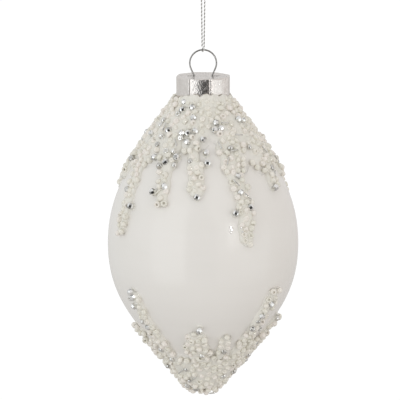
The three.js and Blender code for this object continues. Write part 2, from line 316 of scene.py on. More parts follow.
def ramp(m, source, stops):
    n = node(m, "ValToRGB")
    elements = n.color_ramp.elements
    while len(elements) < len(stops):
        elements.new(0.5)
    for element, (at, colour) in zip(elements, stops):
        element.position = at
        element.color = (*colour, 1)
    link(m, source, n.inputs["Fac"])
    return n.outputs["Color"]


def tint_of(m):
    """The value stored at each corner of a piece's mesh."""
    return node(m, "Attribute", attribute_name="tint").outputs["Fac"]


def bump(m, height, strength, distance_mm):
    n = node(m, "Bump", Strength=strength, Distance=distance_mm * MM)
    link(m, height, n.inputs["Height"])
    link(m, n.outputs["Normal"], shader_of(m).inputs["Normal"])


def spread(m, source, low, high):
    """A noise stretched to run from low to high."""
    n = node(m, "MapRange")
    n.inputs["From Min"].default_value, n.inputs["From Max"].default_value = NOISE_SPREAD
    n.inputs["To Min"].default_value, n.inputs["To Max"].default_value = low, high
    link(m, source, n.inputs["Value"])
    return n.outputs["Result"]


def add(m, one, other):
    n = node(m, "Math", operation="ADD")
    link(m, one, n.inputs[0])
    link(m, other, n.inputs[1])
    return n.outputs["Value"]


def uneven_gloss(m, source, low, high):
    link(m, spread(m, source, low, high), shader_of(m).inputs["Roughness"])


# ---------------------------------------------------------------- materials


def white_glass():
    m = material("white_lacquered_glass", (0.86, 0.84, 0.80), 0.22, coat=0.3)
    shader_of(m).inputs["Specular IOR Level"].default_value = 0.32
    clouds = noise(m, place(m, (0.02, 0.02, 0.12)), 1.0, 3.0)
    clouded(m, clouds, (0.874, 0.848, 0.806), (0.889, 0.863, 0.826))
    bump(m, noise(m, place(m, (0.03, 0.03, 0.05)), 1.0, 1.0), 0.1, 0.4)
    return m


def pearl_bead():
    m = material("pearl_seed_bead", (0.8, 0.78, 0.72), 0.2, coat=0.5)
    colour_by(m, tint_of(m), [
        (0.0, (0.845, 0.82, 0.73)), (0.35, (0.88, 0.85, 0.765)),
        (0.7, (0.915, 0.875, 0.80)), (1.0, (0.93, 0.875, 0.815)),
    ])
    uneven_gloss(m, noise(m, place(m), 0.9), 0.14, 0.32)
    return m


def silver_lined_bead():
    m = material("silver_lined_bead", (0.8, 0.79, 0.76), 0.16, metallic=1.0, coat=0.6)
    colour_by(m, tint_of(m), [(0.0, (0.62, 0.61, 0.58)), (1.0, (0.94, 0.93, 0.90))])
    uneven_gloss(m, noise(m, place(m), 1.1), 0.08, 0.3)
    return m


def mirror_bead():
    """Mirror silver, with a painted reflection: facets painted darker or brighter by the way they
    face.
    """
    m = material("mirror_bead", (0.9, 0.9, 0.89), 0.04, metallic=1.0)
    uneven_gloss(m, noise(m, place(m), 1.4), 0.02, 0.12)
    # Painted reflection: a noise of each facet's normal sets its colour darker or brighter, in
    # place of the varied room it would mirror.
    facets = noise(m, node(m, "TexCoord").outputs["Normal"], 2.6, 0.0)
    stops = [(0.36, (0.45, 0.45, 0.44)), (0.46, (0.76, 0.76, 0.75)), (0.54, (0.97, 0.97, 0.96))]
    colour_by(m, facets, stops)
    return m


def clear_glue():
    """Glue the colour of the beads, going over to the colour of the glass where it is thin."""
    m = material("clear_glue", (0.85, 0.84, 0.79), 0.25)
    clouds = noise(m, place(m), 0.8, 3.0)
    stops = list(zip(NOISE_SPREAD, ((0.83, 0.81, 0.74), (0.88, 0.853, 0.785))))
    both = node(m, "Mix", data_type="RGBA")
    link(m, tint_of(m), both.inputs["Factor"])
    both.inputs["A"].default_value = (0.882, 0.856, 0.816, 1)
    link(m, ramp(m, clouds, stops), both.inputs["B"])
    link(m, both.outputs["Result"], shader_of(m).inputs["Base Color"])
    bump(m, noise(m, place(m), 1.3, 2.0), 0.5, 0.25)
    return m


def hammered_silver():
    m = material("hammered_silver", (0.86, 0.84, 0.82), 0.14, metallic=1.0)
    where = place(m)
    cells = node(m, "TexVoronoi", Scale=1.7, Randomness=1.0)
    link(m, where, cells.inputs["Vector"])
    crackle = noise(m, where, 3.4, 4.0, 0.6)
    bump(m, add(m, cells.outputs["Distance"], crackle), 0.8, 0.075)
    uneven_gloss(m, crackle, 0.08, 0.22)
    clouded(m, noise(m, where, 0.5, 3.0), (0.785, 0.742, 0.708), (0.87, 0.83, 0.80))
    return m


def drawn_steel():
    m = material("drawn_steel_wire", (0.40, 0.395, 0.385), 0.3, metallic=1.0)
    fleck = noise(m, place(m), 2.2, 3.0)
    clouded(m, fleck, (0.33, 0.325, 0.315), (0.50, 0.49, 0.48))
    uneven_gloss(m, fleck, 0.2, 0.42)
    return m


def silver_thread():
    """Silver thread, with painted shade: dark deep in the twist and bright on the outside of it.
    """
    m = material("silver_thread", (0.55, 0.54, 0.52), 0.38, metallic=0.5)
    fibres = noise(m, place(m), 5.0, 2.0)
    # Painted shade: how far out each point lies on its ply sets the colour, dark deep in the twist
    # and bright on the outside, in place of the shade between the plies.
    painted_twist_shade = add(m, tint_of(m), spread(m, fibres, -0.06, 0.06))
    stops = [(0.42, (0.10, 0.10, 0.095)), (0.66, (0.52, 0.51, 0.49)), (0.85, (0.93, 0.92, 0.90))]
    colour_by(m, painted_twist_shade, stops)
    bump(m, fibres, 0.6, 0.06)
    return m


GLASS = white_glass()
BEAD_MATERIALS = [pearl_bead(), silver_lined_bead(), mirror_bead(), clear_glue()]
PEARL, LINED, MIRROR, GLUE = range(len(BEAD_MATERIALS))
SILVER = hammered_silver()
STEEL = drawn_steel()
THREAD = silver_thread()

# ---------------------------------------------------------------- cord loop

CORD_D = 0.65
WIRE_R = 0.325
EYE_TOP = box_mm("hanger_wire")[1][2]
WIRE_TOP_MIDDLE = EYE_TOP - WIRE_R
# Ply radius, its distance from the cord's middle, and the length of one turn
LOOP_PLY, KNOT_PLY, BIGHT_PLY = (0.165, 0.16, 2.86), (0.15, 0.12, 2.2), (0.16, 0.13, 2.0)

# One side of the loop, from the bight up to the top: distance from the middle, and height
CORD_SIDE = [
    (0.38, -38.8), (0.40, -37.4), (0.44, -35), (0.48, -32), (0.53, -28.5), (0.58, -24.5),
    (0.65, -20), (0.78, -15), (0.98, -10), (1.25, -6), (1.48, -3.2), (1.55, -1.5), (1.15, -0.2),
]


def cord_route():
    left = [(-x, 0, z) for x, z in CORD_SIDE]
    right = [(x, 0, z) for x, z in reversed(CORD_SIDE)]
    ends = (0.33, 0, CORD_SIDE[0][1] - 0.5)
    return [(-ends[0], 0, ends[2]), *left, (0, 0, CORD_D / 2), *right, ends]


def make_cord():
    route = smooth_route(cord_route(), 560)
    verts, faces, reach = two_ply(route, *LOOP_PLY, 10)
    cord = new_piece("twisted_cord_loop", verts, faces, tint=reach)
    finish_piece(cord, ROOT_BODY, ["cord_loop"], [THREAD])
    return cord, route


def make_knot():
    """An overhand knot, as a trefoil of cord round the strand, with two short tails."""
    low, high = box_mm("cord_knot")
    middle = (low + high) / 2
    t = np.linspace(0, 2 * np.pi, 90, endpoint=False)
    wide = 0.33
    ring = 1.75 + np.cos(3 * t)
    line = np.stack(
        [wide * ring * np.cos(2 * t), wide * ring * np.sin(2 * t), 0.78 * np.sin(3 * t)], 1
    )
    parts, reach = [], []

    def add_cord(route, closed):
        verts, faces, out = two_ply(route, *KNOT_PLY, 6, closed)
        ends = np.vstack(faces[1:]) if len(faces) > 1 else np.zeros((0, 6), int)
        parts.append((verts, faces[0], ends))
        reach.append(out)

    add_cord(line + middle, True)
    for side in (-1, 1):
        tail = [(0.55, 0.35 * side, 0.5), (0.9, 0.75 * side, 1.3), (1.1, 0.85 * side, 2.6),
                (1.15, 1.2 * side, 3.9)]
        add_cord(smooth_route(np.array(tail) + middle, 40), False)
    verts, faces = join_parts(parts)
    knot = new_piece("overhand_knot", verts, faces, tint=np.concatenate(reach))
    return finish_piece(knot, ROOT_BODY, ["cord_knot"], [THREAD])


def make_bight():
    """The cord's turn round the wire at the top of the eye, a little askew."""
    a = np.linspace(0, 2 * np.pi, 72, endpoint=False)
    radius, askew = WIRE_R + 0.30, math.radians(24)
    y, z = radius * np.cos(a), radius * np.sin(a) * 1.12 + 0.05
    x = np.sin(a - 0.4) * 0.16
    line = np.stack(
        [x * math.cos(askew) - y * math.sin(askew), x * math.sin(askew) + y * math.cos(askew),
         z + WIRE_TOP_MIDDLE],
        1,
    )
    verts, faces, reach = two_ply(line, *BIGHT_PLY, 8, closed=True)
    bight = new_piece("cord_bight", verts, faces, tint=reach)
    return finish_piece(bight, BIGHT_BODY, ["cord_hitch"], [THREAD])


cord_piece, cord_line = make_cord()
knot_piece = make_knot()
bight_piece = make_bight()

# ---------------------------------------------------------------- wire hanger

EYE_RADIUS = 5.15
EYE_OPEN = 24
KNEE_X, KNEE_Z = 3.53, -50.3
LEG_X = box_mm("hanger_wire")[1][0] - WIRE_R
LEG_Z = box_mm("hanger_wire")[0][2]


def wire_leg(side):
    third = [(2 * LEG_X + KNEE_X) / 3, (LEG_X + 2 * KNEE_X) / 3]
    height = [(2 * LEG_Z + KNEE_Z) / 3, (LEG_Z + 2 * KNEE_Z) / 3]
    return [
        (side * LEG_X, 0, LEG_Z), (side * third[0], 0, height[0]),
        (side * third[1], 0, height[1]), (side * (KNEE_X + 0.12), 0, KNEE_Z - 1.2),
        (side * KNEE_X, 0, KNEE_Z), (side * (KNEE_X + 0.5), 0, KNEE_Z + 1.2),
    ]


def make_hanger():
    middle = WIRE_TOP_MIDDLE - EYE_RADIUS
    a = np.radians(np.linspace(180 + EYE_OPEN, -EYE_OPEN, 17))
    eye = [(EYE_RADIUS * np.cos(t), 0, middle + EYE_RADIUS * np.sin(t)) for t in a]
    route = smooth_route([*wire_leg(-1), *eye, *wire_leg(1)[::-1]], 300)
    radius = np.full(len(route), WIRE_R)
    radius[[0, -1]] *= 0.6
    verts, quads, ends = tube(route, radius, 14)
    hanger = new_piece("sprung_wire_hanger", verts, [quads, ends])
    return finish_piece(hanger, HANGER_BODY, ["hanger_wire"], [STEEL])


make_hanger()

# ---------------------------------------------------------------- cap

CAP_LOW, CAP_HIGH = box_mm("cap")
RIM_LOWER = 0.35  # the rim lies this far under the top of the CAD cap
CAP_TOP, CAP_FOOT = CAP_HIGH[2] - RIM_LOWER, CAP_LOW[2]
CAP_CREST = 10.3
CAP_WALL = 0.6
SIDE_DENT, PLATE_DENT = 0.088, 0.06  # deepest hammer marks of the side and of the top plate
LOBES = 8
CAP_TURN = math.radians(-7.25 - 90)
LOBE_RADIUS = 17.0
GROOVE_DEPTH, GROOVE_HALF = 0.24, 0.18
SLOT_X, SLOT_HALF = (2.85, 6.3), 0.63
DENTS = 900
PLATE_DROP = 0.14  # from the rim down to the top plate


def groove_distance(angle):
    """Distance round the cap's side to the nearest groove."""
    step = 2 * np.pi / LOBES
    return np.abs((angle - CAP_TURN) % step - step / 2) * CAP_CREST


def lobe_radius(angle, crest):
    """Distance from the axis to the cap's side: eight arcs that meet in pressed grooves."""
    step = 2 * np.pi / LOBES
    local = (angle - CAP_TURN + step / 2) % step - step / 2
    middle = crest - LOBE_RADIUS
    arc = middle * np.cos(local) + np.sqrt(LOBE_RADIUS**2 - (middle * np.sin(local)) ** 2)
    return arc - GROOVE_DEPTH * np.exp(-((groove_distance(angle) / GROOVE_HALF) ** 2))


def hammer_marks(points, strength):
    """Shallow dents at seeded places, fewer near the grooves: how far each point is pushed in."""
    rng = np.random.default_rng(41)
    angle = rng.uniform(0, 2 * np.pi, DENTS)
    z = rng.uniform(CAP_FOOT - 1, CAP_TOP + 1, DENTS)
    radius = CAP_CREST * np.where(rng.random(DENTS) < 0.75, 1, np.sqrt(rng.random(DENTS)))
    centres = np.stack([radius * np.cos(angle), radius * np.sin(angle), z], 1)
    centres[radius < CAP_CREST, 2] = CAP_TOP
    size = rng.uniform(0.25, 0.6, DENTS)
    depth = rng.random(DENTS) ** 2.5 * strength
    push = np.zeros(len(points))
    for start in range(0, len(points), 4000):
        block = points[start : start + 4000]
        d2 = ((block[:, None] - centres[None]) ** 2).sum(2) / size[None] ** 2
        push[start : start + 4000] = (depth[None] * np.exp(-2.2 * d2)).sum(1)
    to_groove = groove_distance(np.arctan2(points[:, 1], points[:, 0]))
    return push * (1 - 0.9 * np.exp(-((to_groove / 0.7) ** 2)))


def make_cap():
    segments = LOBES * 54
    a = np.linspace(0, 2 * np.pi, segments, endpoint=False)
    mid_lobe = np.cos((a - CAP_TURN) * LOBES / 2) ** 2
    roll_high, roll_deep = 0.25 + 0.5 * mid_lobe, 0.3 + 0.25 * mid_lobe
    rows = []  # (inset from the lobed outline, height), each round the cap
    for share in np.linspace(0, 1, 34):
        z = CAP_FOOT + (CAP_TOP - roll_high - CAP_FOOT) * share
        rows.append((0.35 * np.exp(-(((z - CAP_FOOT) / 0.9) ** 2)), z))
    for t in np.linspace(0, np.pi / 2, 8)[1:]:
        rows.append((roll_deep * (1 - np.cos(t)), CAP_TOP - roll_high * (1 - np.sin(t))))
    for inset, drop in ((0.35, 0.02), (0.7, 0.06), (1.05, 0.1), (1.5, PLATE_DROP)):
        rows.append((roll_deep + inset, CAP_TOP - drop + 0 * a))
    outer = len(rows)
    full = lobe_radius(a, CAP_CREST)
    verts = []
    for inset, z in rows:
        r = full - inset
        verts.append(np.stack([r * np.cos(a), r * np.sin(a), z], 1))
    side = np.vstack(verts)
    outward = side * [1, 1, 0]
    outward /= np.linalg.norm(outward, axis=1)[:, None]
    up = np.clip((side[:, 2] - (CAP_TOP - 0.5)) / 0.5, 0, 1)[:, None]
    normal = outward * (1 - up) + np.array([0, 0, 1]) * up
    dents = hammer_marks(side, SIDE_DENT)
    rise = np.clip((side[:, 2] - CAP_FOOT) / 0.8, 0, 1)
    side -= normal * (dents * rise)[:, None]
    # The top plate is made of rings that shrink towards the axis. The slots are cut afterwards.
    rim_last = side[-segments:]
    plate_rows = []
    for share in (0.86, 0.72, 0.58, 0.44, 0.3, 0.16, 0.05):
        ring = rim_last * [share, share, 1]
        ring[:, 2] = CAP_TOP - PLATE_DROP
        plate_rows.append(ring)
    plate = np.vstack(plate_rows)
    plate[:, 2] -= hammer_marks(plate, PLATE_DENT)
    inner_rows = []
    plate_under = CAP_TOP - PLATE_DROP - CAP_WALL
    for z, inset in ((plate_under, 0.8), (CAP_TOP - 1.4, 0), (CAP_FOOT + 1, 0), (CAP_FOOT, 0.35)):
        r = full - CAP_WALL - inset
        inner_rows.append(np.stack([r * np.cos(a), r * np.sin(a), np.full(segments, z)], 1))
    under = [rim_last * [share, share, 0] + [0, 0, plate_under] for share in (0.05, 0.5)]
    points = np.vstack([side, plate, *under, *inner_rows])
    count = len(points) // segments
    faces = grid_faces(count, segments, wrap_rows=True, wrap_columns=True)
    plate_last, under_first = outer + len(plate_rows) - 1, outer + len(plate_rows)
    keep = ~((faces[:, 0] // segments == plate_last) & (faces[:, 2] // segments == under_first))
    discs = np.array(
        [plate_last * segments + np.arange(segments),
         (under_first * segments + np.arange(segments))[::-1]]
    )
    cap = new_piece("lobed_cap", points, [faces[keep], discs])
    cut_slots(cap)
    return finish_piece(cap, CAP_BODY, ["cap"], [SILVER])


def cut_slots(cap):
    for side in (-1, 1):
        x0, x1 = sorted((side * SLOT_X[0], side * SLOT_X[1]))
        z0, z1 = CAP_TOP - 2.5, CAP_TOP + 2
        ends = 8
        outline = []
        for cx, start in ((x1 - SLOT_HALF, -90), (x0 + SLOT_HALF, 90)):
            for t in np.radians(np.linspace(start, start + 180, ends)):
                outline.append((cx + SLOT_HALF * np.cos(t), SLOT_HALF * np.sin(t)))
        low = [(x, y, z0) for x, y in outline]
        high = [(x, y, z1) for x, y in outline]
        n = len(outline)
        sides = [(i, (i + 1) % n, n + (i + 1) % n, n + i) for i in range(n)]
        cutter = new_piece(
            "cutter", low + high,
            [sides, [list(range(n))[::-1]], [list(range(n, 2 * n))]],
        )
        cut = cap.modifiers.new("slot", "BOOLEAN")
        cut.object, cut.operation, cut.solver = cutter, "DIFFERENCE", "EXACT"
        bpy.context.view_layer.objects.active = cap
        bpy.ops.object.modifier_apply(modifier=cut.name)
        bpy.data.objects.remove(cutter)
    bpy.context.view_layer.objects.active = cap
    cap.select_set(True)
    bpy.ops.object.shade_smooth_by_angle(angle=math.radians(38))
    cap.select_set(False)


make_cap()

# ---------------------------------------------------------------- glass bauble

GLASS_LOW, GLASS_HIGH = box_mm("glass_body")
TIP = GLASS_LOW[2]
BELLY_R = 37.05
BELLY_Z = -116.0
NECK_R, NECK_FOOT, NECK_TOP = 8.2, -57.6, GLASS_HIGH[2]
SHOULDER = (11.2, -61.6)
LOWER_CONE = (6.0, -171.6)
TIP_FLAT = 3.8
# How far the outline's control points lie from its corners, as (outwards, upwards)
NECK_HANDLE, SHOULDER_HANDLE, CONE_HANDLE = (0.3, -1.7), (14.4, -19.2), (18.5, 22.9)
ABOVE_BELLY, BELOW_BELLY = 22, 23.2
WALL = 1.2


def bezier(*points, count=40):
    """A curve of two or three degrees through its first and last points."""
    p = [np.array(q, float) for q in points]
    t = np.linspace(0, 1, count)[:, None]
    while len(p) > 1:
        p = [a + (b - a) * t for a, b in zip(p, p[1:])]
    return p[0]


def glass_outline():
    """The outside of the glass from the neck's mouth to the tip, as (radius, height)."""
    neck = np.stack([np.full(8, NECK_R), np.linspace(NECK_TOP, NECK_FOOT, 8)], 1)
    foot, belly = (NECK_R, NECK_FOOT), (BELLY_R, BELLY_Z)
    shoulder = bezier(foot, np.add(foot, NECK_HANDLE), SHOULDER, count=12)
    upper = bezier(SHOULDER, np.add(SHOULDER, SHOULDER_HANDLE), np.add(belly, (0, ABOVE_BELLY)),
                   belly, count=60)
    lower = bezier(belly, np.add(belly, (0, -BELOW_BELLY)), np.add(LOWER_CONE, CONE_HANDLE),
                   LOWER_CONE, count=60)
    tip = bezier(LOWER_CONE, (TIP_FLAT, TIP), (0, TIP), count=14)
    return np.vstack([neck[:-1], shoulder[:-1], upper[:-1], lower[:-1], tip])


OUTLINE = glass_outline()
ALONG = np.gradient(OUTLINE, axis=0)
ALONG /= np.linalg.norm(ALONG, axis=1)[:, None]
OUTWARD = np.stack([-ALONG[:, 1], ALONG[:, 0]], 1)


def glass_at(z):
    """Radius of the glass and its outward normal (radial, up) at heights z."""
    order = np.argsort(OUTLINE[:, 1])
    table = OUTLINE[order, 1]
    radius = np.interp(z, table, OUTLINE[order, 0])
    nr = np.interp(z, table, OUTWARD[order, 0])
    nz = np.interp(z, table, OUTWARD[order, 1])
    size = np.hypot(nr, nz)
    return radius, nr / size, nz / size


def over_glass(angle, z, off):
    """Points over the glass: radians round from the front, height, and distance off it."""
    radius, nr, nz = glass_at(z)
    r = np.maximum(radius + off * nr, 0.0)
    return np.stack([r * np.sin(angle), -r * np.cos(angle), z + off * nz], -1)


def make_glass():
    inner = OUTLINE - OUTWARD * WALL
    inner = inner[(inner[:, 0] > 0.6) & (inner[:, 1] < NECK_TOP + 0.01)]
    rim = bezier(
        (NECK_R - WALL, NECK_TOP - 0.1), (NECK_R - WALL / 2, NECK_TOP + 0.35),
        (NECK_R, NECK_TOP - 0.1), count=7,
    )[1:-1]
    outside = OUTLINE[:-1].copy()
    outside[0, 1] -= 0.2
    inner[0, 1] -= 0.2
    # From the bottom of the inside up to the mouth, over it and down the outside
    profile = np.vstack([inner[::-1], rim, outside])
    sides = 144
    verts, quads = turned(profile, sides)
    last = (len(profile) - 1) * sides
    # End discs: one inside over the tip, one outside at the tip
    caps = np.array([np.arange(sides), (last + np.arange(sides))[::-1]])
    glass = new_piece("white_glass_bauble", verts, [quads[:, ::-1], caps[:, ::-1]])
    return finish_piece(glass, BAUBLE_BODY, ["glass_body"], [GLASS])


make_glass()

# ---------------------------------------------------------------- beads


BEAD_TALL = 0.74  # half height of a seed bead of outer radius 1


def bead_ring(around=12):
    """A seed bead of outer radius 1, with its hole along Z."""
    t = np.linspace(0, 2 * np.pi, 8, endpoint=False) + 0.2
    across = np.sign(np.cos(t)) * np.abs(np.cos(t)) ** 0.95
    height = np.sign(np.sin(t)) * np.abs(np.sin(t)) ** 0.95
    ring = np.stack([0.64 + 0.36 * across, BEAD_TALL * height], 1)
    verts, _ = turned(ring, around)
    faces = grid_faces(len(ring), around, True, True)
    return verts, faces[:, ::-1], np.full(len(faces), True)


def filled_bead(around=12):
    """The same bead with glue in its hole, so that only a dimple shows at each end."""
    side = [(0.02, 0.56), (0.2, 0.6), (0.42, 0.73), (0.7, 0.66), (0.92, 0.4), (1, 0)]
    profile = [*side, *((r, -z) for r, z in side[-2::-1])]
    verts, _ = turned(profile, around)
    faces = grid_faces(len(profile), around, True, True)
    return verts, faces, np.full(len(faces), True)


def bugle_tube(around=8):
    """A thin tube bead of radius 1 and half length 6, with its hole along Z."""
    profile = [(1, -5.8), (1, 5.8), (0.85, 6), (0.55, 5.9), (0.55, -5.9), (0.85, -6)]
    verts, _ = turned(profile, around)
    faces = grid_faces(len(profile), around, True, True)
    return verts, faces, np.full(len(faces), True)


def faceted_ball(around=8):
    """A ball of radius 1 with flat facets in bands, and a drilled hole along Z. The middle of a
    facet lies half a facet round from X, on the middle band."""
    tilt = np.array([0.28, 0.75, 1.21, np.pi - 1.21, np.pi - 0.75, np.pi - 0.28])
    profile = [(np.sin(t), -np.cos(t)) for t in tilt]
    profile += [(0.2, 0.9), (0.2, -0.9)]
    verts, _ = turned(profile, around)
    quads = grid_faces(len(profile), around, True, True)
    return verts, quads, np.full(len(quads), False)


SHAPES = {"seed": bead_ring(), "filled": filled_bead(), "bugle": bugle_tube(),
          "ball": faceted_ball()}
LINED_SHARE = 0.035
BUGLE_SHARE = 0.012
BEAD_RADII = (1.1, 1.36)
BUGLE_RADIUS = 0.28
OPEN_SHARE = 0.3  # of the seed beads, whose hole isn't filled with glue


class Crowd:
    """Where beads already lie, so that new ones keep their distance."""

    CELL = 3.0

    def __init__(self):
        self.cells = {}

    def key(self, p):
        return tuple(int(c // self.CELL) for c in p)

    def free(self, p, radius, closeness):
        i, j, k = self.key(p)
        for a in (i - 1, i, i + 1):
            for b in (j - 1, j, j + 1):
                for c in (k - 1, k, k + 1):
                    for x, y, z, r in self.cells.get((a, b, c), ()):
                        reach = (radius + r) * closeness
                        if (x - p[0]) ** 2 + (y - p[1]) ** 2 + (z - p[2]) ** 2 < reach * reach:
                            return False
        return True

    def add(self, p, radius):
        self.cells.setdefault(self.key(p), []).append((p[0], p[1], p[2], radius))


crowd = Crowd()


def turn_to(axis, spin):
    """A matrix whose third column is axis, turned by spin about it."""
    axis = axis / np.linalg.norm(axis)
    helper = np.array([0, 0, 1.0]) if abs(axis[2]) < 0.9 else np.array([1.0, 0, 0])
    u = np.cross(helper, axis)
    u /= np.linalg.norm(u)
    v = np.cross(axis, u)
    c, s = math.cos(spin), math.sin(spin)
    return np.stack([c * u + s * v, c * v - s * u, axis], 1)


def surface_frame(angle, z):
    """Outward normal, direction round the bauble, and direction up the glass, at a place."""
    _, nr, nz = glass_at(z)
    round_way = np.array([math.cos(angle), math.sin(angle), 0])
    outward = np.array([nr * math.sin(angle), -nr * math.cos(angle), nz])
    return outward, round_way, np.cross(outward, round_way)


def bead_at(angle, z, kind, size, tilt, swing, spin, lift):
    """One seed bead lying on the glass: its shape's name, turning matrix, centre and scale."""
    outward, round_way, up_way = surface_frame(angle, z)
    lean = math.cos(swing) * round_way + math.sin(swing) * up_way
    axis = math.cos(tilt) * outward + math.sin(tilt) * lean
    height = size * (math.sin(tilt) + BEAD_TALL * math.cos(tilt)) * 0.94
    centre = over_glass(angle, z, height + lift - 0.15)
    return kind, turn_to(axis, spin), centre, size


def random_bead(rng, angle, z, lift, size):
    """A seed bead as it happens to fall: some lie flat and many stand on edge."""
    tilt = abs(rng.normal(0, 0.45)) if rng.random() < 0.42 else rng.uniform(0.8, 1.57)
    kind = "seed" if rng.random() < OPEN_SHARE else "filled"
    return bead_at(
        angle, z, kind, size, tilt, rng.uniform(0, 2 * np.pi), rng.uniform(0, 6.28), lift
    )


def bugle_bead(rng, angle, z, lift):
    outward, round_way, up_way = surface_frame(angle, z)
    swing = rng.uniform(0, 2 * np.pi)
    lean = math.cos(swing) * round_way + math.sin(swing) * up_way
    axis = lean + outward * rng.uniform(0.0, 0.35)
    centre = over_glass(angle, z, 1.0 + lift)
    return "bugle", turn_to(axis, rng.uniform(0, 6.28)), centre, BUGLE_RADIUS


def fill_region(rng, sample, tries, mirror_share, closeness, relief, lined_share):
    """Beads dropped at random places of a region until no more fit. `sample` gives an angle and
    a height, or None outside the region. A second, sparser layer lies over the first. Where
    `relief` is low, from 0 to 1, the beads lie lower and further apart."""
    beads = []
    for layer, (count, lift, keep) in enumerate(((tries, 0.15, 1.0), (tries // 4, 0.65, 0.4))):
        for _ in range(count):
            spot = sample(rng)
            if spot is None:
                continue
            angle, z = spot
            size = rng.uniform(*BEAD_RADII) * (0.92 if layer else 1)
            kind = rng.random()
            high = float(relief(angle, z))
            if rng.random() > (keep * high if layer else 0.35 + 0.9 * high):
                crowd.add(over_glass(angle, z, 0.8), size * 0.8)
                continue
            centre = over_glass(angle, z, (0.8 if layer == 0 else 1.5))
            if not crowd.free(centre, size, closeness):
                continue
            if kind < mirror_share and layer == 0:
                size = rng.uniform(1.25, 1.45)
                item = "ball", ball_turn(rng, False), over_glass(angle, z, size + 0.2), size
                look = MIRROR
            elif kind < mirror_share + BUGLE_SHARE:
                item = bugle_bead(rng, angle, z, 0.9 if layer == 0 else 1.3)
                look = LINED if rng.random() < 0.7 else PEARL
            else:
                item = random_bead(rng, angle, z, lift + 0.45 * (high - 0.7), size)
                past = kind - (mirror_share + BUGLE_SHARE)
                lined = 0 < past < lined_share
                look = LINED if lined else PEARL
            crowd.add(centre, size)
            beads.append((*item, look, rng.random()))
    return beads


def bead_mesh(name, beads, glue, body, nodes):
    """One piece from a list of beads and the glue bed under them, if there is one."""
    verts, faces, smooth, looks, tint = [], [], [], [], []
    base = 0
    for shape, turn, centre, size, look, shade in beads:
        v, f, s = SHAPES[shape]
        verts.append((v * size) @ turn.T + centre)
        faces.append(f + base)
        smooth.append(s)
        looks.append(np.full(len(f), look))
        tint.append(np.full(len(v), shade))
        base += len(v)
    if glue is not None:
        v, f, thick = glue
        verts.append(v)
        faces.append(f + base)
        smooth.append(np.full(len(f), True))
        looks.append(np.full(len(f), GLUE))
        tint.append(np.broadcast_to(thick, len(v)))
    piece = new_piece(name, np.vstack(verts), [np.vstack(faces)], np.concatenate(smooth),
                      np.concatenate(looks), np.concatenate(tint))
    return finish_piece(piece, body, nodes, BEAD_MATERIALS)


def ripple(angle, z, seed):
    """A smooth uneven height between -1 and 1 over the bauble, for glue and ragged edges."""
    rng = np.random.default_rng(seed)
    total = 0
    for _ in range(6):
        turns, rise, phase = rng.integers(3, 17), rng.uniform(-0.9, 0.9), rng.uniform(0, 6.28)
        total = total + np.sin(turns * angle + rise * z + phase)
    return total / 6


def glue_band(z_from, z_to, rows, sides, thickness, edge, relief):
    """A closed skin of glue all round between two heights, ragged at the height `edge` gives."""
    a = np.linspace(0, 2 * np.pi, sides, endpoint=False)
    layers, thick = [], []
    for k in range(rows):
        share = k / (rows - 1)
        z = z_from + (z_to + edge(a) - z_from) * share
        thin = np.minimum(1, (1.5 + 4.5 * relief(a, z)) * (1 - share))
        thick.append(thin)
        thin = thin * np.minimum(1, 0.4 + 5 * share)
        off = thickness * thin * (1 + 0.3 * ripple(a, z, 5) + 0.5 * (relief(a, z) - 0.7)) + 0.02
        layers.append(over_glass(a, z, off))
    for k in range(rows)[::-1]:
        share = k / (rows - 1)
        z = z_from + (z_to + edge(a) - z_from) * share
        layers.append(over_glass(a, z, -0.15))
    verts = np.vstack(layers)
    faces = grid_faces(2 * rows, sides, True, True)
    thick = np.concatenate(thick + thick[::-1])
    return verts, faces if z_to > z_from else faces[:, ::-1], thick


# ---------------------------------------------------------------- icicle runs


def names_with(prefix):
    return sorted(n for n in NODES if n.startswith(prefix))


